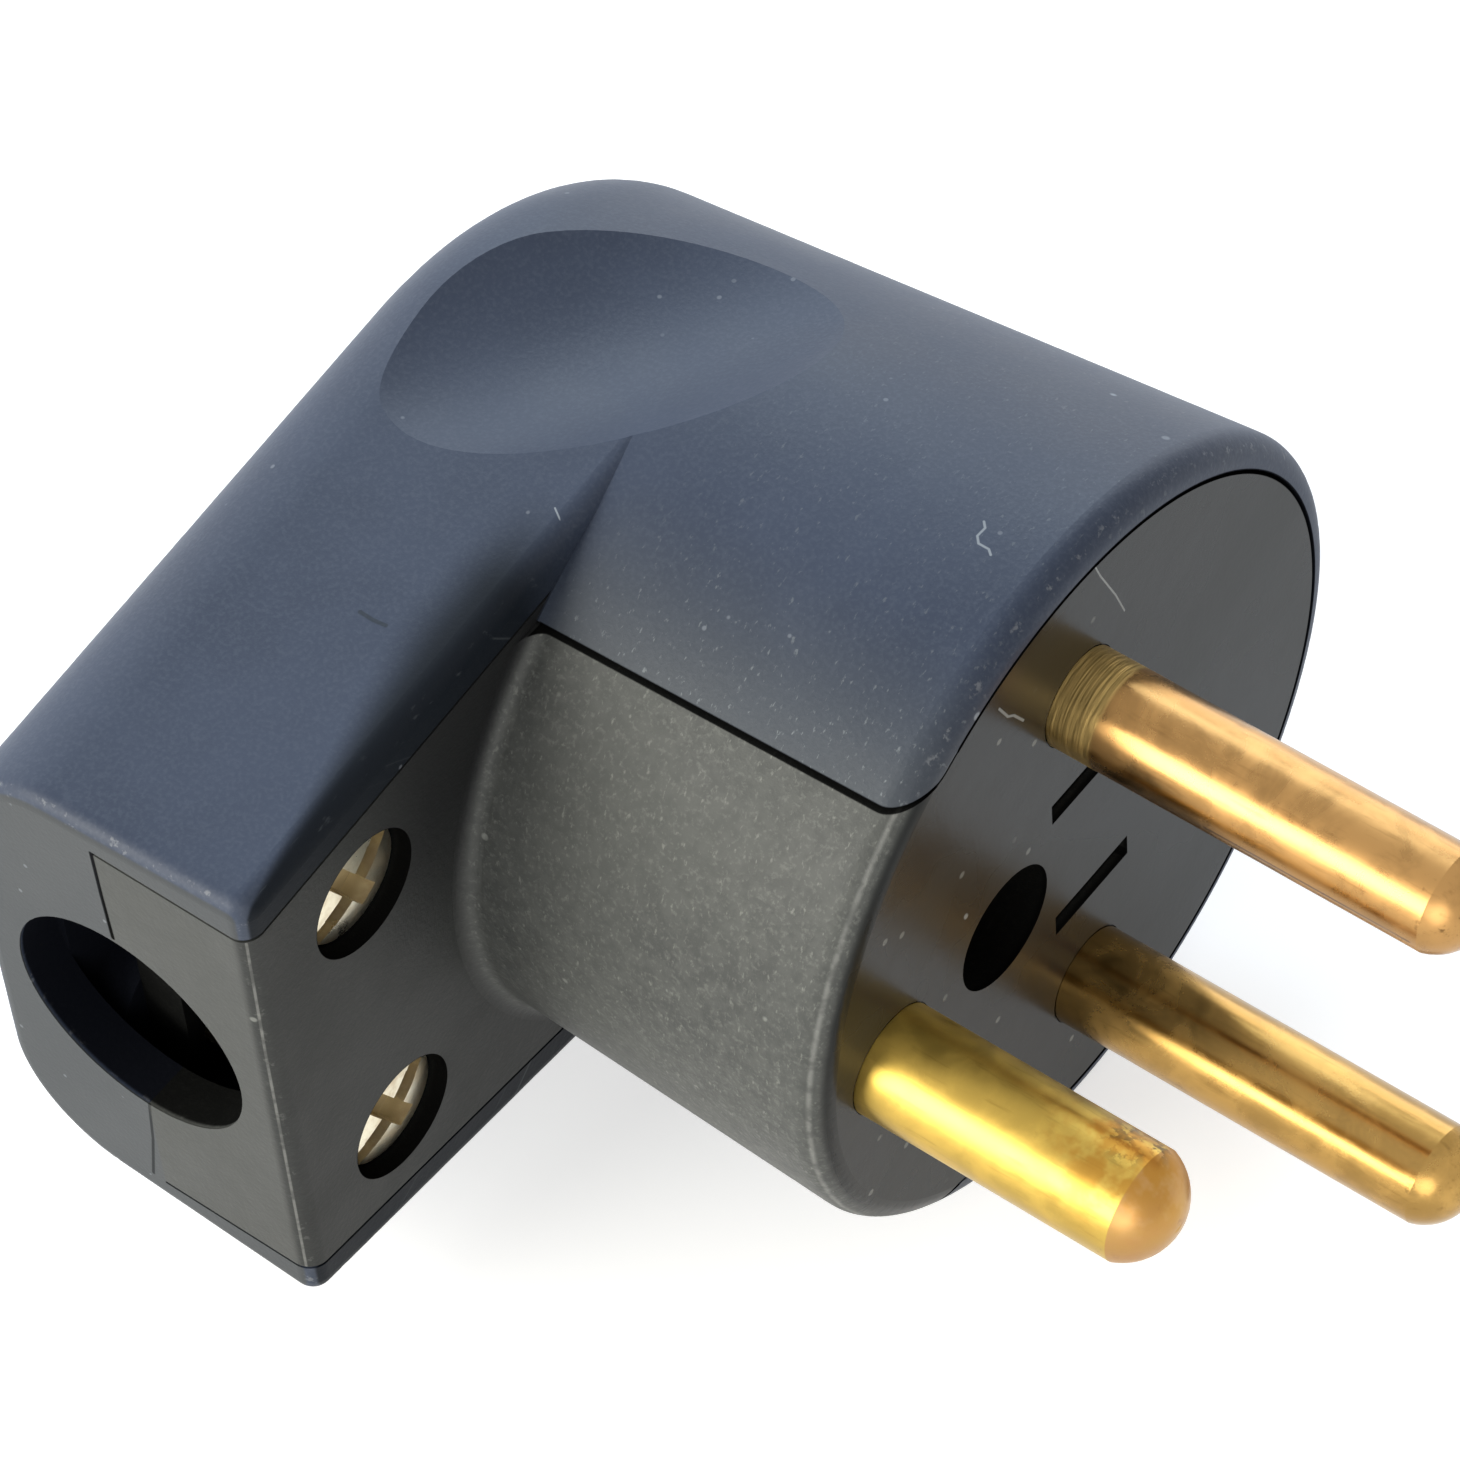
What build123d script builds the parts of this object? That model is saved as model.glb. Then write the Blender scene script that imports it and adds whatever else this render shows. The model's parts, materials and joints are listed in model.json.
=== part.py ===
from build123d import *
from math import cos, radians, sin, sqrt, tan
import os

# A rewirable angled plug with three round pins. Millimetres.
# +X is the way the pins point, -Y is the way the arm points, and z = 0 is the mirror plane.
# The origin is the centre of the pin face. A depth is measured from the pin face towards the back.

# Barrel and back
face_radius = 17.85
back_radius = 15.7
back_shift = 0.95
barrel_depth = 18.0
rim_round = 1.2
back_round = 5.6

# Arm, whose end stands in from the barrel's radius by a step at its front and one at the back
arm_depth = 15.7
arm_reach = 29.0
arm_front_step = 4.25
arm_back_step = 3.3
arm_edge_round = 0.9

# Walls of the two mouldings
rim_wall = 1.35
cover_ledge = 1.2
skin = 2.0
flange = 0.7
back_wall = 2.5
end_wall = 2.2
face_wall = 4.5
barrel_wall = 2.0
plate = 2.5
seam_gap = 0.15
notch_angle = 57.4
notch_draft = 3.1
notch_round = 1.5
junction_round = 0.8

# Thumb recesses
thumb_depth = 22.5
thumb_offset = 3.4
thumb_sink = 1.7
thumb_width_radius = 12.0
thumb_length_radius = 67.5
thumb_reach = 15.0
thumb_turn = 63.6

# Cord inlet, centred between the plate and the back wall
cord_radius = 5.75

# Pins
pin_spacing = 19.0
power_pin_radius = 2.25
power_pin_length = 19.0
earth_pin_radius = 2.5
earth_pin_length = 13.75
earth_offset = 13.0
tip_height = 1.75
seat_relief = 0.15
tail_radius = 1.8
tail_chamfer = 0.3
fit_gap = 0.05

# Terminals
washer_radius = 3.0
washer_thickness = 0.8
washer_split = 0.6
block_width = 6.0
block_height = 7.0
block_length = 8.0
block_chamfer = 0.4
tail_in_block = 3.2
wire_hole_radius = 1.5
wire_hole_setback = 5.1
wire_screw_radius = 1.25
wire_screw_reach = 2.9
wire_head_radius = 1.9
wire_head_height = 1.6
pocket_gap = 0.2
pocket_length = 10.9

# Screws that join the mouldings
arm_screw_spread = 7.8
arm_screw_inset = 6.4
screw_radius = 1.5
screw_hole_gap = 0.15
screw_chamfer = 0.4
head_radius = 2.7
head_height = 2.0
head_dome = 0.35
head_sink = 0.5
recess_radius = 2.88
slot_width = 0.9
slot_depth = 0.9
slot_turn = 30.0
cross_width = 1.0
cross_span = 3.4
cross_depth = 1.3
boss_radius = 4.3
arm_boss_length = 4.2
insert_radius = 2.4
insert_length = 3.0
insert_groove = 0.3
insert_groove_width = 0.8
screw_tip_gap = 0.3
arm_post_length = 1.9

# Centre screw
centre_offset = 5.35
centre_recess_radius = 2.85
centre_boss_radius = 4.2
centre_boss_depth = 15.0
centre_boss_floor = 2.5
centre_screw_past_insert = 1.5

# Cord clamp bar
clamp_half_length = 10.4
clamp_width = 5.0
clamp_thickness = 2.2
clamp_corner_round = 1.5
grip_rib_height = 0.9
grip_rib_width = 1.0
grip_rib_length = 7.0
grip_rib_spacing = 3.4

# Slots and barriers of the pin face
face_slot_spread = 3.8
face_slot_width = 1.2
face_slot_length = 5.0
face_slot_centre = 0.5
face_slot_depth = 3.0
face_slot_round = 0.3
barrier_spread = 5.1
barrier_thickness = 1.0
barrier_length = 14.0
barrier_height = 9.5

# Values that follow from the driving dimensions
overrun = 2.0
arm_half_height = face_radius - arm_front_step
arm_back_half_height = back_radius - arm_back_step
body_depth = barrel_depth + arm_depth
plate_depth = barrel_depth + plate
inner_back = body_depth - back_wall
cord_depth = (plate_depth + inner_back) / 2
inner_reach = arm_reach - end_wall
seat_radius = face_radius - rim_wall
notch_half_height = seat_radius * sin(radians(notch_angle))
notch_edge = seat_radius * cos(radians(notch_angle))
arm_screw_offset = arm_reach - arm_screw_inset
recess_depth = head_sink + head_height
arm_head_depth = barrel_depth + head_sink
clamp_seat_depth = inner_back - arm_post_length
screw_hole_radius = screw_radius + screw_hole_gap
centre_seat_depth = centre_boss_depth - centre_boss_floor
block_depth = face_wall + washer_thickness
block_back = block_depth + block_length
tail_end = block_depth + tail_in_block
power_spots = [(0, pin_spacing / 2), (0, -pin_spacing / 2)]
earth_spot = (-earth_offset, 0)
centre_spot = (-centre_offset, 0)
arm_spots = [(-arm_screw_offset, arm_screw_spread), (-arm_screw_offset, -arm_screw_spread)]


def depth_plane(depth):
    """Plane across the pins' direction, at a depth behind the pin face."""
    return Plane.YZ.offset(-depth)


def turning_plane(depth, spot, way=1):
    """Plane through an axis at a (y, z) spot. Its y grows to the back, or to the front where way is -1."""
    return Plane(origin=(-depth, *spot), x_dir=(0, 1, 0), z_dir=(0, 0, way))


def turning_axis(spot):
    return Axis((0, *spot), (1, 0, 0))


def radius_at(depth):
    return face_radius + (back_radius - face_radius) * depth / body_depth


def centre_at(depth):
    return -back_shift * depth / body_depth


def end_half_at(depth):
    share = (depth - barrel_depth) / arm_depth
    return arm_half_height + (arm_back_half_height - arm_half_height) * share


def notch_half_at(depth):
    return notch_half_height - depth * tan(radians(notch_draft))


def draw_arm_section(depth, inset=0.0):
    """Draw the arm's section in the current sketch: the barrel's circle joined by tangents to the end."""
    with Locations((centre_at(depth), 0)):
        Circle(radius_at(depth) - inset)
    with Locations((overrun / 2 - arm_reach, 0)):
        Rectangle(overrun, 2 * (end_half_at(depth) - inset))
    make_hull()


def round_shape(radius, start, end, spots, mode=Mode.ADD):
    """Round posts or holes between two depths, at (y, z) spots, in the current part."""
    with BuildSketch(depth_plane(start)) as circles:
        with Locations(*spots):
            Circle(radius)
    extrude(circles.sketch, amount=start - end, mode=mode)


def cut_arm_hollow(start, end):
    """Cut the arm's hollow between two depths, inside its side walls and its end wall."""
    with BuildSketch(depth_plane(end)) as hollow:
        draw_arm_section(end, skin + flange)
        with Locations((-inner_reach / 2, 0)):
            Rectangle(inner_reach, 2 * face_radius, mode=Mode.INTERSECT)
    extrude(hollow.sketch, amount=end - start, mode=Mode.SUBTRACT)


def cut_cord_inlet():
    """Cut the cord's round hole through the end wall, centred on the parting plane."""
    with BuildSketch(Plane.XZ.offset(inner_reach)) as inlet:
        with Locations((-cord_depth, 0)):
            Circle(cord_radius)
    extrude(inlet.sketch, amount=end_wall, mode=Mode.SUBTRACT)


def thumb_cutter(side):
    """Spindle that leaves a leaf-shaped recess, with its axis above one side of the body."""
    surface = sqrt(radius_at(thumb_depth) ** 2 - (thumb_offset - centre_at(thumb_depth)) ** 2)
    end_drop = thumb_length_radius - sqrt(thumb_length_radius ** 2 - thumb_reach ** 2)
    end_radius = thumb_width_radius - end_drop
    along = Vector(cos(radians(thumb_turn)), sin(radians(thumb_turn)), 0)
    centre = Vector(-thumb_depth, thumb_offset, side * (surface + thumb_width_radius - thumb_sink))
    with BuildPart() as spindle:
        with BuildSketch(Plane(origin=centre, x_dir=along, z_dir=along.cross(Vector(0, 0, 1)))):
            with BuildLine():
                ThreePointArc((-thumb_reach, end_radius), (0, thumb_width_radius), (thumb_reach, end_radius))
                Polyline(
                    (thumb_reach, end_radius), (thumb_reach, 0), (-thumb_reach, 0), (-thumb_reach, end_radius)
                )
            make_face()
        revolve(axis=Axis(centre, along))
    return spindle.part


def build_body():
    """Outer form that both mouldings share, with its rounded edges and thumb recesses."""
    with BuildPart() as shape:
        with BuildSketch(depth_plane(0)):
            Circle(face_radius)
        with BuildSketch(depth_plane(body_depth)):
            with Locations((-back_shift, 0)):
                Circle(back_radius)
        loft()
        with BuildSketch(depth_plane(barrel_depth)):
            draw_arm_section(barrel_depth)
        with BuildSketch(depth_plane(body_depth)):
            draw_arm_section(body_depth)
        loft(ruled=True)
        back_edges = shape.edges().group_by(Axis.X)[0].sort_by(Axis.Y)
        fillet(back_edges[1:], back_round)
        front_lines = shape.edges().filter_by(GeomType.LINE).filter_by_position(
            Axis.X, -barrel_depth - fit_gap, -barrel_depth + fit_gap
        )
        end_edges = shape.faces().sort_by(Axis.Y)[0].edges()
        fillet(end_edges + front_lines.sort_by(Axis.Y)[1:], arm_edge_round)
        fillet(shape.edges().group_by(Axis.X)[-1], rim_round)
        for side in (1, -1):
            add(thumb_cutter(side), mode=Mode.SUBTRACT)
    return shape.part


def front_opening(gap):
    """What the cover leaves open for the base: the seat, the notch in the barrel and the arm's front."""
    notch_start = notch_edge + gap
    notch_end = face_radius + overrun
    arm_end = arm_reach + overrun
    with BuildPart() as opening:
        for depth in (-overrun, face_wall):
            with BuildSketch(depth_plane(depth)) as seat:
                Circle(seat_radius - gap)
                with Locations((-notch_end / 2, 0)):
                    Rectangle(notch_end, 2 * (notch_half_at(depth) - gap))
                fillet(seat.vertices().group_by(Axis.X)[1], notch_round + gap)
        loft()
        for depth in (face_wall, barrel_depth):
            with BuildSketch(depth_plane(depth)):
                with Locations((-(notch_start + notch_end) / 2, 0)):
                    Rectangle(notch_end - notch_start, 2 * (notch_half_at(depth) - gap))
        loft()
        with BuildSketch(depth_plane(barrel_depth)):
            draw_arm_section(barrel_depth, skin + gap)
            with Locations((-(notch_start + arm_reach) / 2, 0)):
                Rectangle(arm_reach - notch_start, 2 * face_radius, mode=Mode.INTERSECT)
            with Locations((-(arm_reach + arm_end) / 2, 0)):
                Rectangle(overrun, 2 * (arm_half_height - skin - gap))
        extrude(amount=barrel_depth - cord_depth)
    return opening.part


def build_pin(radius, length, spot):
    """Solid pin with a domed end, and a cone under the pin face that leads to a thinner tail."""
    with BuildPart() as pin:
        with BuildSketch(turning_plane(0, spot, -1)):
            with BuildLine():
                TangentArc((0, length), (radius, length - tip_height), tangent=(1, 0))
                Polyline(
                    (radius, length - tip_height), (radius, 0), (tail_radius, tail_radius - radius),
                    (tail_radius, tail_chamfer - tail_end), (tail_radius - tail_chamfer, -tail_end),
                    (0, -tail_end), (0, length),
                )
            make_face()
        revolve(axis=turning_axis(spot))
    return pin.part


def build_lock_washer(spot):
    """Split ring between a terminal and the face wall."""
    with BuildPart() as washer:
        with BuildSketch(depth_plane(face_wall)):
            with Locations(spot):
                Circle(washer_radius)
                Circle(tail_radius + fit_gap, mode=Mode.SUBTRACT)
            with Locations((spot[0] + washer_radius, spot[1])):
                Rectangle(2 * washer_radius, washer_split, mode=Mode.SUBTRACT)
        extrude(amount=-washer_thickness)
    return washer.part


def build_terminal(spot):
    """Block on a pin's tail, with a cross hole for the wire and a hole for the wire's screw."""
    with BuildPart() as block:
        with BuildSketch(depth_plane(block_depth)):
            with Locations(spot):
                Rectangle(block_width, block_height)
        extrude(amount=-block_length)
        chamfer(block.edges(), block_chamfer)
        with BuildSketch(Plane.XZ.offset(-spot[0])) as wire_hole:
            with Locations((-block_depth - wire_hole_setback, spot[1])):
                Circle(wire_hole_radius)
        extrude(amount=block_width, both=True, mode=Mode.SUBTRACT)
        round_shape(tail_radius + fit_gap, block_depth, tail_end, [spot], Mode.SUBTRACT)
        screw_hole_start = block_depth + wire_hole_setback
        round_shape(wire_screw_radius + fit_gap, screw_hole_start, block_back, [spot], Mode.SUBTRACT)
    return block.part


def build_screw(head, head_size, shank, reach, spot, way=1, cross=False):
    """Slotted screw whose head starts at the depth head and has the size (radius, height)."""
    radius, height = head_size
    tip = height + reach
    with BuildPart() as screw:
        with BuildSketch(turning_plane(head, spot, way)):
            with BuildLine():
                TangentArc((0, 0), (radius, head_dome), tangent=(1, 0))
                Polyline(
                    (radius, head_dome), (radius, height), (shank, height), (shank, tip - screw_chamfer),
                    (shank - screw_chamfer, tip), (0, tip), (0, 0),
                )
            make_face()
        revolve(axis=turning_axis(spot))
        slot_x = (0, cos(radians(slot_turn)), sin(radians(slot_turn)))
        head_plane = Plane(origin=(-head, *spot), x_dir=slot_x, z_dir=(way, 0, 0))
        with BuildSketch(head_plane):
            Rectangle(3 * radius, slot_width)
        extrude(amount=-slot_depth, mode=Mode.SUBTRACT)
        if cross:
            with BuildSketch(head_plane):
                Rectangle(cross_width, cross_span)
                Rectangle(cross_span, cross_width)
            extrude(amount=-cross_depth, mode=Mode.SUBTRACT)
    return screw.part


def build_insert(start, length, spot):
    """Threaded bush with a groove around it, flush with the end of its post."""
    bore = screw_radius + fit_gap
    groove_radius = insert_radius - insert_groove
    groove_start = (length - insert_groove_width) / 2
    groove_end = (length + insert_groove_width) / 2
    with BuildPart() as insert:
        with BuildSketch(turning_plane(start, spot)):
            with BuildLine():
                Polyline(
                    (bore, 0), (insert_radius, 0), (insert_radius, groove_start), (groove_radius, groove_start),
                    (groove_radius, groove_end), (insert_radius, groove_end), (insert_radius, length),
                    (bore, length), (bore, 0),
                )
            make_face()
        revolve(axis=turning_axis(spot))
    return insert.part


body = build_body()
power_pin_upper = build_pin(power_pin_radius, power_pin_length, power_spots[0])
power_pin_lower = build_pin(power_pin_radius, power_pin_length, power_spots[1])
earth_pin = build_pin(earth_pin_radius, earth_pin_length, earth_spot)

# Front moulding, which carries the pins
with BuildPart() as pin_base:
    add(front_opening(seam_gap))
    add(body, mode=Mode.INTERSECT)
    junction = pin_base.edges().filter_by_position(Axis.X, -barrel_depth - fit_gap, -barrel_depth + fit_gap)
    fillet(junction.filter_by(GeomType.LINE, reverse=True).sort_by(Axis.Y)[-1], junction_round)
    # Hollows of the barrel and the arm
    hollow_radius = radius_at(barrel_depth) - barrel_wall
    hollow_spot = (centre_at(barrel_depth), 0)
    round_shape(hollow_radius, face_wall, cord_depth, [hollow_spot], Mode.SUBTRACT)
    cut_arm_hollow(plate_depth, cord_depth)
    # Pocket in the near wall for the earth terminal
    with BuildSketch(depth_plane(face_wall)):
        with Locations(earth_spot):
            Rectangle(block_width + 2 * pocket_gap, block_height + 2 * pocket_gap)
    extrude(amount=-pocket_length, mode=Mode.SUBTRACT)
    # Bosses, barriers between the terminals, and ribs that grip the cord
    round_shape(centre_boss_radius, 0, centre_boss_depth, [centre_spot])
    round_shape(boss_radius, barrel_depth, barrel_depth + arm_boss_length, arm_spots)
    with BuildSketch(depth_plane(face_wall)):
        with GridLocations(0, 2 * barrier_spread, 1, 2):
            Rectangle(barrier_length, barrier_thickness)
    extrude(amount=-barrier_height)
    with BuildSketch(depth_plane(plate_depth)):
        with Locations((-arm_screw_offset, 0)):
            with GridLocations(grip_rib_spacing, 0, 2, 1):
                Rectangle(grip_rib_width, grip_rib_length)
    extrude(amount=-grip_rib_height)
    # Holes for the screws, holes and conical seats for the pins, and the two blind slots
    round_shape(centre_recess_radius, 0, centre_seat_depth, [centre_spot], Mode.SUBTRACT)
    round_shape(screw_hole_radius, 0, centre_boss_depth, [centre_spot], Mode.SUBTRACT)
    round_shape(recess_radius, barrel_depth, barrel_depth + recess_depth, arm_spots, Mode.SUBTRACT)
    round_shape(screw_hole_radius, barrel_depth, barrel_depth + arm_boss_length, arm_spots, Mode.SUBTRACT)
    round_shape(tail_radius + fit_gap, 0, face_wall, power_spots + [earth_spot], Mode.SUBTRACT)
    round_shape(power_pin_radius + fit_gap, 0, seat_relief, power_spots, Mode.SUBTRACT)
    round_shape(earth_pin_radius + fit_gap, 0, seat_relief, [earth_spot], Mode.SUBTRACT)
    add([power_pin_upper, power_pin_lower, earth_pin], mode=Mode.SUBTRACT)
    with BuildSketch(depth_plane(0)):
        with Locations((face_slot_centre, 0)):
            with GridLocations(0, 2 * face_slot_spread, 1, 2):
                RectangleRounded(face_slot_length, face_slot_width, face_slot_round)
    extrude(amount=-face_slot_depth, mode=Mode.SUBTRACT)
    cut_cord_inlet()

# Rear shell, with a ledge behind the seat and a post for each of the three screws
with BuildPart() as rear_cover:
    add(body)
    add(front_opening(0), mode=Mode.SUBTRACT)
    with BuildSketch(depth_plane(0)):
        Circle(seat_radius - cover_ledge)
    with BuildSketch(depth_plane(inner_back)):
        with Locations((centre_at(inner_back), 0)):
            Circle(radius_at(inner_back) - rim_wall - cover_ledge)
    loft(mode=Mode.SUBTRACT)
    cut_arm_hollow(cord_depth, inner_back)
    round_shape(boss_radius, clamp_seat_depth, inner_back, arm_spots)
    round_shape(centre_boss_radius, centre_boss_depth, inner_back, [centre_spot])
    arm_insert_end = clamp_seat_depth + insert_length
    centre_insert_end = centre_boss_depth + insert_length
    centre_hole_end = centre_insert_end + centre_screw_past_insert + screw_tip_gap
    round_shape(insert_radius + fit_gap, clamp_seat_depth, arm_insert_end, arm_spots, Mode.SUBTRACT)
    round_shape(insert_radius + fit_gap, centre_boss_depth, centre_insert_end, [centre_spot], Mode.SUBTRACT)
    round_shape(screw_hole_radius, centre_insert_end, centre_hole_end, [centre_spot], Mode.SUBTRACT)
    cut_cord_inlet()

# Bar on the two arm screws, which holds the cord against the ribs
with BuildPart() as cord_clamp_bar:
    with BuildSketch(depth_plane(clamp_seat_depth - clamp_thickness)):
        with Locations((-arm_screw_offset, 0)):
            RectangleRounded(clamp_width, 2 * clamp_half_length, clamp_corner_round)
    extrude(amount=-clamp_thickness)
    round_shape(
        screw_hole_radius, clamp_seat_depth - clamp_thickness, clamp_seat_depth, arm_spots, Mode.SUBTRACT
    )

pieces = {
    "rear_cover": rear_cover.part,
    "pin_base": pin_base.part,
    "cord_clamp_bar": cord_clamp_bar.part,
    "power_pin_upper": power_pin_upper,
    "power_pin_lower": power_pin_lower,
    "earth_pin": earth_pin,
}

# Screws and inserts that join the mouldings
main_head = (head_radius, head_height)
arm_reach_of_screw = arm_insert_end - screw_tip_gap - arm_head_depth - head_height
for name, spot in zip(("upper", "lower"), arm_spots):
    pieces[f"arm_screw_{name}"] = build_screw(
        arm_head_depth, main_head, screw_radius, arm_reach_of_screw, spot, cross=True
    )
    pieces[f"arm_insert_{name}"] = build_insert(clamp_seat_depth, insert_length, spot)
centre_reach_of_screw = centre_insert_end + centre_screw_past_insert - centre_seat_depth
pieces["centre_screw"] = build_screw(
    centre_seat_depth - head_height, main_head, screw_radius, centre_reach_of_screw, centre_spot, cross=True
)
pieces["centre_insert"] = build_insert(centre_boss_depth, insert_length, centre_spot)

# What holds a wire on each pin's tail
for name, spot in zip(("upper", "lower", "earth"), power_spots + [earth_spot]):
    pieces[f"{name}_lock_washer"] = build_lock_washer(spot)
    pieces[f"{name}_terminal"] = build_terminal(spot)
    pieces[f"{name}_wire_screw"] = build_screw(
        block_back + wire_head_height, (wire_head_radius, wire_head_height),
        wire_screw_radius, wire_screw_reach, spot, way=-1,
    )

os.makedirs("parts", exist_ok=True)
for name, piece in pieces.items():
    piece.label = name
    export_step(piece, f"parts/{name}.step")
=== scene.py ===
import bpy
import json
from functools import reduce
from mathutils import Matrix, Vector


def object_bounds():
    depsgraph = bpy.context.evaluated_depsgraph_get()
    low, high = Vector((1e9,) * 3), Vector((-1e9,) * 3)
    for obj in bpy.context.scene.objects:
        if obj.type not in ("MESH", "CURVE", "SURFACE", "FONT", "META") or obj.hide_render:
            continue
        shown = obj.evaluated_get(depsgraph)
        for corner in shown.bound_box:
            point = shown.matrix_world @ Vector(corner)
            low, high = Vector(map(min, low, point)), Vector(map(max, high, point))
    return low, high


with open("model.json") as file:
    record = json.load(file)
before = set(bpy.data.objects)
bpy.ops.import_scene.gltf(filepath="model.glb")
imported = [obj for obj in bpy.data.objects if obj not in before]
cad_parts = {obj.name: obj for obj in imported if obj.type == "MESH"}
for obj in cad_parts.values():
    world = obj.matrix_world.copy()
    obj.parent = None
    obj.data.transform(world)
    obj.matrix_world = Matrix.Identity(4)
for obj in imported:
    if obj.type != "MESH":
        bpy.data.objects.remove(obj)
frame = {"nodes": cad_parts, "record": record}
cad_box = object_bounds()

# Places and sizes in the materials are in millimetres of the shared frame, and the scale of a noise is per
# millimetre. The pin face is at x = 0 and the barrel's axis at y = z = 0.
MM = 0.001


def box_of(node):
    """The lowest and the highest corner of a node."""
    corners = frame["nodes"][node].bound_box
    return [[limit(corner[axis] for corner in corners) / MM for axis in range(3)] for limit in (min, max)]


def axis_of(node):
    """The y and the z of the middle of a node that lies along the pins' direction."""
    low, high = box_of(node)
    return (low[1] + high[1]) / 2, (low[2] + high[2]) / 2


# Places on the plug. A pair gives the two ends of a range or of a soft step.
ARM_END_Y = box_of("pin_base")[0][1]
SCREW_TOP_X = box_of("arm_screw_upper")[1][0]
POWER_TIP_X = box_of("power_pin_upper")[1][0]
EARTH_TIP_X = box_of("earth_pin")[1][0]
EARTH_STAIN = (EARTH_TIP_X - 2.8, axis_of("earth_pin")[0] + 1.2, 1.9)
BARREL_RADIUS = 17.8
FACE_RIM_RADIUS = (16.8, 17.2)
BEHIND_FACE_RADIUS = (13.8, 14.2)
ARM_FRONT_X = -18.0
BASE_BACK_X = (-17.0, -16.0)
ARM_HOLLOW_X = (-31.7, -18.9)
ARM_HOLLOW_Y = (ARM_END_Y + 0.15, -12.0)
ARM_HOLLOW_HEIGHT = (10.8, 11.2)
FACE_SLOT_HEIGHT = (3.19, 4.41)
FACE_SLOT_Y = (-2.01, 3.01)
RING_JOINT_RADIUS = (16.31, 16.55)
NOTCH_HEIGHT_AT_FACE = 13.9
NOTCH_RISE = 0.0542

# Round openings along the pins' direction, each about a screw: y, z and radius
CENTRE_HOLE = (*axis_of("centre_screw"), 2.86)
SCREW_RECESSES = [(*axis_of(screw), 2.90) for screw in ("arm_screw_upper", "arm_screw_lower")]

# Colors of the plastics
# The cover's blue is partly its own tint and partly a painted sky sheen, so it is bluer than the base from
# every side
COVER_WITH_SKY_SHEEN = ((0.027, 0.037, 0.063), (0.036, 0.048, 0.079))
COVER_GRAIN = (0.072, 0.087, 0.118)
# Painted lighting of the arm's end face: a neutral grey in place of the cover's blue
COVER_END_PAINTED_LIGHTING = (0.039, 0.041, 0.039)
COVER_DUSTY = (0.068, 0.073, 0.069)
# Painted shade on the arm's front edge
COVER_PAINTED_SHADE = (0.005, 0.007, 0.010)
COVER_FLECKS = (0.19, 0.21, 0.22)
COVER_DUST = (0.42, 0.46, 0.50)
COVER_FINE_DUST = (0.36, 0.39, 0.43)
COVER_SCUFF = (0.010, 0.016, 0.022)
COVER_FIBRE = (0.30, 0.33, 0.36)
# Wear on the edges, partly a painted highlight
COVER_WORN_AND_HIGHLIGHT = (0.34, 0.35, 0.36)
# Painted shade of the hollows and the seams' edges
COVER_HOLLOW_SHADE = (0.003, 0.003, 0.004)
BASE = ((0.053, 0.055, 0.052), (0.069, 0.072, 0.067))
# Painted shade of the pin face
BASE_FACE_SHADED = ((0.013, 0.014, 0.014), (0.021, 0.022, 0.021))
BASE_BLOTCH = (0.092, 0.095, 0.088)
BASE_GRAIN = (0.16, 0.165, 0.150)
BASE_FLECKS = (0.24, 0.245, 0.220)
# Painted shade of the arm's end face
BASE_END_PAINTED_SHADE = (0.044, 0.045, 0.042)
# Painted shade of the arm's front
BASE_ARM_FRONT_SHADE = (0.018, 0.019, 0.018)
# Painted shade in the corner where the arm's front meets the barrel
BASE_CORNER_SHADE = (0.004, 0.004, 0.005)
BASE_DUST = (0.34, 0.35, 0.32)
BASE_LINT = (0.34, 0.36, 0.35)
# Painted highlight along edges
BASE_EDGE_HIGHLIGHT = (0.34, 0.34, 0.32)
BASE_KNOCK = (0.50, 0.50, 0.47)
# Wear on the edges, partly a painted highlight
BASE_WORN_AND_HIGHLIGHT = (0.42, 0.42, 0.39)
# Painted shade of the hollows, the openings and the seams' edges
BASE_HOLLOW_SHADE = (0.003, 0.003, 0.003)

# Colors of the marks on the pins, and what a dark streak leaves of the brass's red, green and blue
PIN_SPOTS = (0.10, 0.050, 0.018)
PIN_SCRATCH = (0.085, 0.035, 0.012)
PIN_STAIN = (0.075, 0.042, 0.016)
PIN_ORANGE = (0.42, 0.20, 0.030)
PIN_TURNED_BAND = (0.58, 0.42, 0.15)
TARNISH = (0.42, 0.34, 0.26)

# Lights, in metres
LIGHT_DISTANCE = 0.60
LIGHT_SIZE = 0.40
WHITE = (1.0, 1.0, 1.0, 1.0)


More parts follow.
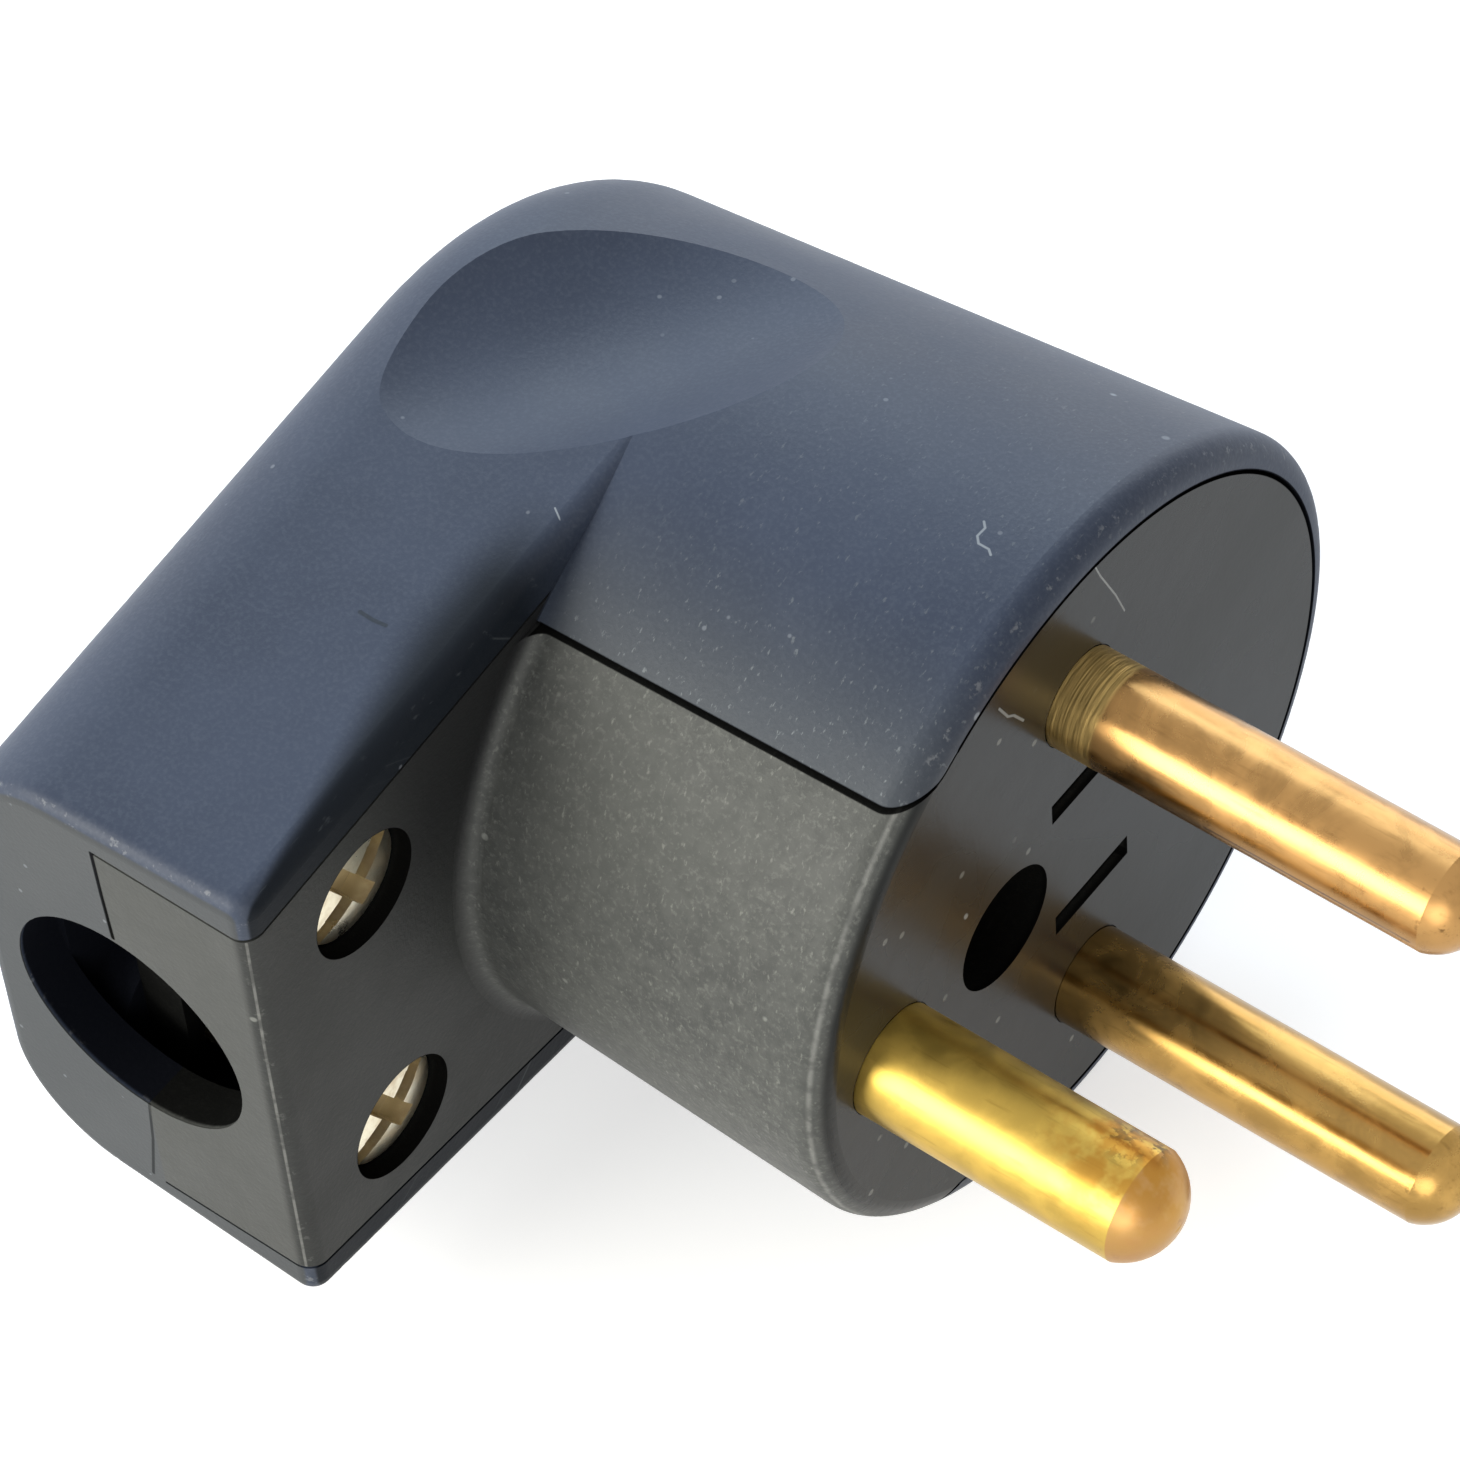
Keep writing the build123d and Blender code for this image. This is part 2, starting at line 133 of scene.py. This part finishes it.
class Shader:
    """A material with a Principled surface, and short calls for its nodes."""

    def __init__(self, name):
        self.material = bpy.data.materials.new(name)
        self.material.use_nodes = True
        self.tree = self.material.node_tree
        self.surface = self.tree.nodes["Principled BSDF"]
        self.place = self.scaled(self.add("ShaderNodeTexCoord").outputs["Object"], 1.0 / MM)
        self.x, self.y, self.z = self.add("ShaderNodeSeparateXYZ", {"Vector": self.place}).outputs

    def add(self, kind, inputs=None, **settings):
        node = self.tree.nodes.new(kind)
        for key, value in settings.items():
            setattr(node, key, value)
        for key, value in (inputs or {}).items():
            self.feed(node.inputs[key], value)
        return node

    def feed(self, socket, value):
        if isinstance(value, bpy.types.NodeSocket):
            self.tree.links.new(value, socket)
        else:
            socket.default_value = value

    def vector(self, operation, a, b):
        """The outputs of an operation on two vectors: Vector, or Value where the result is a number."""
        return self.add("ShaderNodeVectorMath", {0: a, 1: b}, operation=operation).outputs

    def scaled(self, vector, scale):
        node = self.add("ShaderNodeVectorMath", {0: vector, "Scale": scale}, operation="SCALE")
        return node.outputs["Vector"]

    def stretched(self, x, y, z):
        return self.vector("MULTIPLY", self.place, (x, y, z))["Vector"]

    def distance(self, a, b):
        return self.vector("DISTANCE", a, b)["Value"]

    def from_axis(self, y=0.0, z=0.0):
        """Distance from a line along the pins' direction, which is the barrel's axis if none is given."""
        return self.distance(self.stretched(0.0, 1.0, 1.0), (0.0, y, z))

    def around_barrel(self, along, around):
        """Places for a grain that lies along and around the barrel, from the angle about its axis."""
        angle = self.math("ARCTAN2", self.z, self.times(self.y, -1.0))
        return self.add("ShaderNodeCombineXYZ", {
            "X": self.times(self.x, along), "Y": self.times(angle, BARREL_RADIUS * around), "Z": 0.0,
        }).outputs["Vector"]

    def math(self, operation, a, b=0.0, clamp=False):
        return self.add("ShaderNodeMath", {0: a, 1: b}, operation=operation, use_clamp=clamp).outputs[0]

    def times(self, *values):
        return reduce(lambda a, b: self.math("MULTIPLY", a, b), values)

    def most(self, *values):
        return reduce(lambda a, b: self.math("MAXIMUM", a, b), values)

    def steps(self, value, low, high, out_low=0.0, out_high=1.0, smooth=True):
        node = self.add("ShaderNodeMapRange", {
            "Value": value, "From Min": low, "From Max": high, "To Min": out_low, "To Max": out_high,
        }, interpolation_type="SMOOTHSTEP" if smooth else "LINEAR")
        return node.outputs["Result"]

    def above(self, value, low, high):
        """0 below both limits and 1 above them."""
        return self.steps(value, low, high)

    def below(self, value, low, high):
        """1 below both limits and 0 above them."""
        return self.steps(value, low, high, 1.0, 0.0)

    def between(self, value, low, high, soft=0.1):
        """1 where the value lies between two limits, with soft ends."""
        over_low = self.above(value, low - soft, low + soft)
        return self.times(over_low, self.below(value, high - soft, high + soft))

    def noise(self, scale, detail=3.0, rough=0.5, place=None, distortion=0.0):
        node = self.add("ShaderNodeTexNoise", {
            "Vector": place or self.place, "Scale": scale, "Detail": detail,
            "Roughness": rough, "Distortion": distortion,
        })
        return node.outputs["Fac"]

    def specks(self, scale, size, share):
        """Small round flecks in a share of a random pattern's cells. Their size is a part of a cell's."""
        node = self.add("ShaderNodeTexVoronoi", {"Vector": self.place, "Scale": scale})
        picked = self.add("ShaderNodeSeparateColor", {"Color": node.outputs["Color"]}).outputs["Red"]
        dots = self.below(node.outputs["Distance"], size * 0.5, size)
        return self.times(dots, self.above(picked, 1.0 - share, 1.0 - share + 0.01))

    def line_mark(self, start, end, width):
        """A thin mark along a straight line between two points of the surface."""
        start, end = Vector(start), Vector(end)
        along = end - start
        offset = self.vector("SUBTRACT", self.place, start)["Vector"]
        share = self.vector("DOT_PRODUCT", offset, along / along.length_squared)["Value"]
        near = self.scaled(along, self.math("MULTIPLY", share, 1.0, clamp=True))
        return self.below(self.distance(offset, near), width * 0.4, width)

    def thread(self, points, width):
        """A fibre or a scratch through a row of points."""
        return self.most(*(self.line_mark(start, end, width) for start, end in zip(points, points[1:])))

    def bump(self, height, strength, depth, under=None):
        """A normal for a relief, on top of another normal where one is given."""
        node = self.add("ShaderNodeBump", {"Height": height, "Strength": strength, "Distance": depth * MM})
        if under is not None:
            self.feed(node.inputs["Normal"], under)
        return node.outputs["Normal"]

    def mix(self, factor, a, b):
        """Two colors mixed. The color sockets of a Mix node are its inputs 6 and 7 and its output 2."""
        node = self.add("ShaderNodeMix", {0: factor}, data_type="RGBA")
        for socket, value in ((node.inputs[6], a), (node.inputs[7], b)):
            self.feed(socket, value if isinstance(value, bpy.types.NodeSocket) else (*value, 1.0))
        return node.outputs[2]

    def coats(self, color, *coats):
        """Lays coats over a color in turn. Each is a mask, the share that it covers there, and its color."""
        for mask, share, paint in coats:
            color = self.mix(self.times(mask, share), color, paint)
        return color

    def set(self, **values):
        names = {"color": "Base Color", "rough": "Roughness", "metal": "Metallic", "normal": "Normal",
                 "gloss": "Specular IOR Level"}
        for key, value in values.items():
            if key == "color" and not isinstance(value, bpy.types.NodeSocket):
                value = (*value, 1.0)
            self.feed(self.surface.inputs[names[key]], value)
        return self.material


# Masks of the two mouldings: 1 where the docstring says and 0 elsewhere
def worn_and_highlit_edges(s):
    """Rubbed spots on the rim of the pin face and on the edges of the arm's end, partly wear and partly a
    painted highlight.
    """
    spots = s.above(s.noise(1.9, 3.0, 0.7), 0.56, 0.68)
    rim = s.times(s.between(s.x, -0.48, -0.22), s.above(s.from_axis(), *FACE_RIM_RADIUS))
    end = s.between(s.y, ARM_END_Y + 0.07, ARM_END_Y + 0.35, 0.05)
    return s.times(spots, s.most(rim, end))


def end_of_arm(s):
    """The flat end around the cord inlet."""
    return s.below(s.y, ARM_END_Y + 0.04, ARM_END_Y + 0.10)


def inside(s):
    """The walls inside the arm: the cord's passage and the screw recesses."""
    across = s.below(s.math("ABSOLUTE", s.z), *ARM_HOLLOW_HEIGHT)
    return s.times(s.between(s.y, *ARM_HOLLOW_Y), across, s.between(s.x, *ARM_HOLLOW_X))


def round_opening(s, y, z, radius):
    """Within the radius of an axis that lies along the pins' direction."""
    return s.below(s.from_axis(y, z), radius - 0.01, radius + 0.02)


def base_openings(s):
    """The walls of the openings in the base: two slots, the centre hole and the two screw recesses."""
    height = s.math("ABSOLUTE", s.z)
    slots = s.times(s.between(height, *FACE_SLOT_HEIGHT, 0.02), s.between(s.y, *FACE_SLOT_Y, 0.02))
    in_face = s.times(s.most(slots, round_opening(s, *CENTRE_HOLE)), s.above(s.x, *BASE_BACK_X))
    recesses = s.most(*(round_opening(s, *recess) for recess in SCREW_RECESSES))
    return s.most(in_face, s.times(recesses, s.below(s.x, *BASE_BACK_X)))


def arm_shade(s):
    """Painted shade: a dark band on the arm's front edge, which widens towards the barrel, in place of the
    shading of a wider rounding.
    """
    width = s.steps(s.y, -28.5, -15.0, 0.15, 3.6, smooth=False)
    depth = s.math("SUBTRACT", ARM_FRONT_X - 0.1, s.x)
    band = s.below(s.math("DIVIDE", depth, width), 0.25, 1.0)
    return s.times(band, s.below(s.y, -12.5, -7.0), s.below(s.x, ARM_FRONT_X + 0.05, ARM_FRONT_X + 0.10))


def seams(s):
    """The open joints between the two mouldings, painted dark, with painted shade on their very edges."""
    notch = s.math("ADD", s.times(s.x, NOTCH_RISE), NOTCH_HEIGHT_AT_FACE)
    over_notch = s.math("SUBTRACT", s.math("ABSOLUTE", s.z), notch)
    on_notch = s.times(s.between(over_notch, -0.18, 0.02, 0.02), s.below(s.y, -9.2, -9.1),
                       s.above(s.x, ARM_FRONT_X + 0.1, ARM_FRONT_X + 0.2))
    on_ring = s.times(s.between(s.from_axis(), *RING_JOINT_RADIUS, 0.02), s.above(s.y, -7.9, -7.7),
                      s.above(s.x, -4.0, -3.9))
    upper = [(-25.92, ARM_END_Y, 11.5), (-25.86, ARM_END_Y, 8.8), (-25.74, ARM_END_Y, 6.0)]
    lower = [(-25.80, ARM_END_Y, -5.75), (-26.05, ARM_END_Y, -8.5), (-26.50, ARM_END_Y, -11.4)]
    return s.most(on_notch, on_ring, s.thread(upper, 0.15), s.times(s.thread(lower, 0.11), 0.6))


# Materials
def cover_plastic():
    s = Shader("cover_plastic")
    patches = s.noise(0.09, 3.0, 0.6)
    grain = s.noise(5.2, 2.0, 0.6)
    flecks = s.noise(1.0, 3.0, 0.6, place=s.around_barrel(5.2, 2.3))
    shade = arm_shade(s)
    # Painted shade: the walls inside the arm and the seams' edges go nearly black, besides the seams' own
    # dark joints
    hollow = s.most(inside(s), seams(s))
    dusty = s.times(s.below(s.y, -13.0, -4.0), s.above(s.x, -19.0, -16.5), 0.60)
    near_seam = s.math("ADD", s.steps(s.x, -18.2, -12.0, 0.0, 0.25), s.times(dusty, 0.8))
    scuff = s.thread([(-22.9, -15.7, 14.75), (-22.2, -15.75, 14.80), (-21.6, -15.7, 14.84)], 0.13)
    fibre = s.thread([(-4.21, -0.14, 17.58), (-3.98, -0.38, 17.59), (-4.01, -0.85, 17.58),
                      (-3.75, -1.13, 17.58), (-3.25, -1.15, 17.61), (-3.02, -1.34, 17.61)], 0.07)
    curl = s.thread([(-19.2, -7.99, 15.88), (-18.67, -8.34, 15.87), (-18.26, -8.49, 15.88)], 0.05)
    color = s.coats(
        # The cover's tone, partly a painted blue sky sheen
        s.mix(s.above(patches, 0.3, 0.7), *COVER_WITH_SKY_SHEEN),
        (s.above(grain, 0.40, 0.75), 0.30, COVER_GRAIN),
        # Painted lighting: the arm's end face is a neutral grey
        (end_of_arm(s), 0.85, COVER_END_PAINTED_LIGHTING),
        (dusty, 1.0, COVER_DUSTY),
        # Painted shade: the dark band on the arm's front edge
        (shade, 0.95, COVER_PAINTED_SHADE),
        (s.above(flecks, 0.60, 0.72), near_seam, COVER_FLECKS),
        (s.specks(0.56, 0.13, 0.035), 0.55, COVER_DUST),
        (s.specks(1.5, 0.2, 0.03), 0.25, COVER_FINE_DUST),
        (scuff, 0.75, COVER_SCUFF),
        (s.most(fibre, curl), 0.7, COVER_FIBRE),
        # Worn edge spots, partly a painted highlight
        (worn_and_highlit_edges(s), 0.30, COVER_WORN_AND_HIGHLIGHT),
        # Painted shade in the hollows and beside the seams, nearly black
        (hollow, 0.93, COVER_HOLLOW_SHADE),
    )
    rough = s.math("ADD", s.steps(patches, 0.3, 0.7, 0.46, 0.54), s.times(hollow, 0.35))
    gloss = s.steps(s.most(hollow, s.times(shade, 0.65)), 0.0, 1.0, 0.25, 0.02, smooth=False)
    soft = s.bump(s.noise(0.42, 3.0), 0.12, 0.10)
    fine = s.bump(flecks, s.times(near_seam, 0.5), 0.03, soft)
    return s.set(color=color, rough=rough, gloss=gloss, normal=s.bump(grain, 0.35, 0.03, fine))


def base_plastic():
    s = Shader("base_plastic")
    patches = s.noise(0.11, 3.0, 0.6)
    blotches = s.noise(1.3, 2.0, 0.6)
    grain = s.noise(4.2, 2.5, 0.65)
    flecks = s.noise(1.0, 3.0, 0.6, place=s.around_barrel(4.3, 1.9))
    face = s.above(s.x, -0.35, -0.08)
    side = s.math("SUBTRACT", 1.0, face)
    end = end_of_arm(s)
    arm_front = s.between(s.x, ARM_FRONT_X - 0.7, ARM_FRONT_X + 0.2, 0.2)
    # Painted shade: the upper arm front towards the barrel, where the arm meets the barrel
    corner = s.times(s.above(s.y, -24.5, -18.0), s.above(s.z, -2.0, 9.0), arm_front)
    side_grain = s.times(s.above(grain, 0.50, 0.72), s.math("SUBTRACT", side, s.times(end, 0.7)))
    on_barrel = s.times(s.above(s.x, -18.2, -17.2), side)
    behind_face = s.times(s.below(s.x, -0.5, -0.2), s.below(s.from_axis(), *BEHIND_FACE_RADIUS))
    # Painted shade: the walls of the slots, the centre hole, the screw recesses, the arm's inside, behind the
    # face and the seams' edges go nearly black
    hollow = s.most(inside(s), behind_face, seams(s), base_openings(s))
    hair = s.thread([(0.0, 0.94, 17.23), (0.0, 1.59, 15.41), (0.0, 2.57, 13.18), (0.0, 3.13, 11.61)], 0.06)
    curl = s.thread([(0.0, -5.13, 14.25), (0.0, -4.60, 13.18), (0.0, -4.23, 12.85),
                     (0.0, -3.63, 11.87)], 0.08)
    speck = s.line_mark((0.0, -7.85, 3.72), (0.0, -7.80, 3.60), 0.16)
    # Painted highlights: a thin light line along the rim of the pin face, and one down the front edge of the
    # arm's end
    rim_highlight = s.times(s.between(s.x, -0.66, -0.50, 0.08), s.above(s.from_axis(), *FACE_RIM_RADIUS))
    end_edge_highlight = s.thread([(-18.32, -28.79, 11.4), (-18.40, -28.85, 4.0), (-18.45, -28.88, -11.4)], 0.08)
    knock = s.line_mark((-0.3, -8.9, 15.35), (-1.0, -9.3, 15.1), 0.35)
    color = s.coats(
        s.mix(s.above(patches, 0.3, 0.7), *BASE),
        (s.above(blotches, 0.35, 0.65), 0.45, BASE_BLOTCH),
        (side_grain, 0.38, BASE_GRAIN),
        (s.times(s.above(flecks, 0.60, 0.72), on_barrel), 0.42, BASE_FLECKS),
        # Painted shade: the pin face is darker than the rest of the base
        (face, 1.0, s.mix(s.above(patches, 0.3, 0.7), *BASE_FACE_SHADED)),
        # Painted shade: the arm's end face is darker
        (end, 0.75, BASE_END_PAINTED_SHADE),
        # Painted shade: the arm's front is darker
        (arm_front, 0.85, BASE_ARM_FRONT_SHADE),
        (s.specks(0.70, 0.15, 0.05), 0.4, BASE_DUST),
        (s.most(hair, curl, speck), 0.7, BASE_LINT),
        # Painted highlights along the face rim and the end's front edge
        (s.most(rim_highlight, end_edge_highlight), s.steps(blotches, 0.35, 0.6, 0.15, 0.38), BASE_EDGE_HIGHLIGHT),
        (knock, s.above(grain, 0.40, 0.55), BASE_KNOCK),
        # Worn edge spots, partly a painted highlight
        (worn_and_highlit_edges(s), 0.10, BASE_WORN_AND_HIGHLIGHT),
        # Painted shade in the corner where the arm's front meets the barrel
        (corner, 0.75, BASE_CORNER_SHADE),
        # Painted shade in the openings, the hollows and beside the seams, nearly black
        (hollow, 0.94, BASE_HOLLOW_SHADE),
    )
    plain = s.math("ADD", s.steps(patches, 0.3, 0.7, 0.48, 0.58), s.times(face, -0.26))
    gloss = s.times(s.steps(face, 0.0, 1.0, 0.22, 0.10), s.math("SUBTRACT", 1.0, hollow))
    soft = s.bump(s.noise(0.5, 3.0), 0.10, 0.10)
    fine = s.bump(flecks, s.times(on_barrel, 0.6), 0.04, soft)
    strength = s.math("SUBTRACT", 0.5, s.times(face, 0.42))
    return s.set(color=color, rough=s.most(plain, s.times(hollow, 0.9)), gloss=gloss,
                 normal=s.bump(grain, strength, 0.04, fine))


def pin_brass(name, tint, tip_x, light_share=1.35, satin=0.0, band_x=None, line=None, dome=None):
    """Brass of a pin, which can have a turned band up to band_x, a scratch, or a redder and stained dome."""
    s = Shader(name)
    clouds = s.noise(0.33, 6.0, 0.62, distortion=0.4)
    streaks = s.noise(1.0, 3.0, 0.6, place=s.stretched(0.35, 2.6, 2.6))
    spots = s.above(s.noise(0.9, 4.0, 0.7), 0.60, 0.70)
    light = tuple(min(1.0, light_share * c) for c in tint)
    dark = tuple(share * c for share, c in zip(TARNISH, tint))
    color = s.coats(
        s.mix(s.above(clouds, 0.38, 0.62), tint, light),
        (s.above(streaks, 0.55, 0.75), 0.32, dark),
        (spots, s.steps(s.x, tip_x - 3.5, tip_x, 0.10, 0.9), PIN_SPOTS),
    )
    rough = s.steps(clouds, 0.3, 0.7, 0.20 + satin, 0.34 + satin)
    normal = s.bump(streaks, 0.10, 0.02)
    if line:
        scratch = s.times(s.line_mark(*line, 0.11), s.steps(streaks, 0.30, 0.55, 0.35, 0.8))
        color = s.coats(color, (scratch, 1.0, PIN_SCRATCH))
    if dome:
        away = s.distance(s.place, EARTH_STAIN)
        stain = s.times(s.below(away, 0.9, 1.9), s.above(s.noise(1.7, 3.0, 0.6), 0.46, 0.56))
        orange = s.times(s.below(away, 1.8, 4.5), s.above(s.noise(0.7, 3.0, 0.6), 0.42, 0.60))
        color = s.coats(
            color,
            (s.above(s.x, tip_x - 1.78, tip_x - 1.70), s.steps(clouds, 0.25, 0.7, 0.65, 1.0), dome),
            (stain, 0.85, PIN_STAIN),
            (orange, 0.8, PIN_ORANGE),
        )
    if band_x:
        band = s.below(s.x, band_x - 0.2, band_x + 0.1)
        rings = s.noise(1.0, 2.0, 0.6, place=s.stretched(4.2, 0.3, 0.3))
        color = s.coats(color, (band, 0.7, PIN_TURNED_BAND))
        rough = s.math("ADD", rough, s.times(band, 0.12))
        normal = s.bump(rings, s.times(band, 0.6), 0.05, normal)
    return s.set(color=color, rough=rough, metal=1.0, normal=normal)


def metal(name, color_a, color_b, scale, rough_a, rough_b, shade_below_head=None):
    """A metal in two shades of cloud. The color given as the last argument is painted shade for what lies
    deeper than a screw head's face, such as its cross slots.
    """
    s = Shader(name)
    clouds = s.noise(scale, 5.0, 0.6, distortion=0.3)
    color = s.mix(s.above(clouds, 0.40, 0.62), color_a, color_b)
    if shade_below_head:
        # Painted shade in the cross slots and on all below the head's face
        color = s.coats(color, (s.below(s.x, SCREW_TOP_X - 0.93, SCREW_TOP_X - 0.28), 0.9, shade_below_head))
    rough = s.steps(clouds, 0.3, 0.7, rough_a, rough_b)
    return s.set(color=color, rough=rough, metal=1.0, normal=s.bump(s.noise(3.8, 2.0), 0.15, 0.02))


cover = cover_plastic()
base = base_plastic()

# The pins' tints are darker than real brass, because the pins mirror the white surroundings
looks = {
    "rear_cover": cover,
    "pin_base": base,
    "cord_clamp_bar": base,
    "power_pin_upper": pin_brass("pin_brass_power", (0.34, 0.19, 0.068), POWER_TIP_X, band_x=2.1,
                                 line=((7.5, -2.22, 9.13), (16.9, -2.22, 9.13))),
    "power_pin_lower": pin_brass("pin_brass_power_lower", (0.36, 0.215, 0.064), POWER_TIP_X),
    "earth_pin": pin_brass("pin_brass_earth", (0.50, 0.335, 0.072), EARTH_TIP_X, light_share=1.22, satin=0.10,
                           dome=(0.46, 0.25, 0.095)),
}
by_slot = {
    # The screws get painted shade below their heads' faces
    "screw_metal": metal("screw_metal", (0.92, 0.86, 0.68), (0.70, 0.60, 0.42), 0.7, 0.26, 0.40,
                         shade_below_head=(0.46, 0.39, 0.26)),
    "terminal_brass": metal("terminal_brass", (0.70, 0.53, 0.28), (0.60, 0.44, 0.22), 0.5, 0.25, 0.38),
    "washer_steel": metal("washer_steel", (0.56, 0.56, 0.54), (0.46, 0.46, 0.45), 0.6, 0.28, 0.36),
}
for subpart in frame["record"]["subparts"]:
    node = subpart["node"]
    obj = frame["nodes"][node]
    look = looks.get(node) or by_slot[subpart["material_slot"]]
    obj.data.materials.clear()
    obj.data.materials.append(look)


# Stage and light, in metres
floor_z = cad_box[0][2]
bpy.ops.mesh.primitive_plane_add(size=6.0, location=(0, 0, floor_z - 0.0001))
floor = bpy.context.object
floor.name = "floor"
paper = Shader("floor_paper")
paper.set(color=(0.74, 0.74, 0.74), rough=0.9, gloss=0.1)


def seen_rays(tree):
    """1 for the rays that show a surface to the camera, directly or in a mirror or glass, and 0 for light."""
    path = tree.nodes.new("ShaderNodeLightPath")
    value = path.outputs["Is Camera Ray"]
    for ray in ("Is Glossy Ray", "Is Transmission Ray"):
        node = tree.nodes.new("ShaderNodeMath")
        node.operation = "MAXIMUM"
        tree.links.new(value, node.inputs[0])
        tree.links.new(path.outputs[ray], node.inputs[1])
        value = node.outputs[0]
    return value


# The floor glows and the world is brighter for seen rays, so the ground looks white under a soft light
lift = paper.steps(seen_rays(paper.tree), 0.0, 1.0, 0.0, 0.55, smooth=False)
paper.feed(paper.surface.inputs["Emission Color"], WHITE)
paper.feed(paper.surface.inputs["Emission Strength"], lift)
floor.data.materials.append(paper.material)

world = bpy.data.worlds.new("studio")
bpy.context.scene.world = world
world.use_nodes = True
tree = world.node_tree
background = tree.nodes["Background"]
background.inputs["Color"].default_value = WHITE
level = tree.nodes.new("ShaderNodeMapRange")
level.inputs["To Min"].default_value = 0.38
level.inputs["To Max"].default_value = 1.0
tree.links.new(seen_rays(tree), level.inputs["Value"])
tree.links.new(level.outputs["Result"], background.inputs["Strength"])


def area_light(name, direction, power, color):
    light = bpy.data.lights.new(name, "AREA")
    light.shape = "DISK"
    light.size = LIGHT_SIZE
    light.energy = power
    light.color = color
    obj = bpy.data.objects.new(name, light)
    bpy.context.collection.objects.link(obj)
    direction = Vector(direction).normalized()
    obj.location = direction * LIGHT_DISTANCE
    obj.rotation_euler = direction.to_track_quat("Z", "Y").to_euler()


area_light("window", (-0.50, -0.85, 0.35), 4.2, (1.0, 0.98, 0.90))
area_light("sky_back", (-0.60, 0.60, 0.55), 2.2, (0.72, 0.86, 1.0))
area_light("side_left", (-0.95, 0.0, 0.35), 0.7, (0.88, 0.94, 1.0))
area_light("rim_back", (-0.25, 0.90, 0.18), 0.9, (0.92, 0.96, 1.0))
area_light("front_right", (0.60, -0.80, 0.30), 1.2, (1.0, 0.99, 0.96))

# Camera, as it was fitted to the pins, the holes and the edges in the photo
toward = Vector((0.39921174, -0.45126529, 0.79811629))
right = Vector((0.79585964, 0.60276651, -0.05727099))
up = toward.cross(right)
spot = Vector((0.09650033, -0.12977460, 0.22290423))
camera = bpy.data.cameras.new("camera")
camera.sensor_width = 36.0
camera.lens = 168.68
camera.clip_start = 0.01
camera.clip_end = 10.0
camera_object = bpy.data.objects.new("camera", camera)
bpy.context.collection.objects.link(camera_object)
turn = Matrix((right, up, toward)).transposed().to_4x4()
camera_object.matrix_world = Matrix.Translation(spot) @ turn
bpy.context.scene.camera = camera_object
bpy.context.scene.view_settings.view_transform = "Standard"
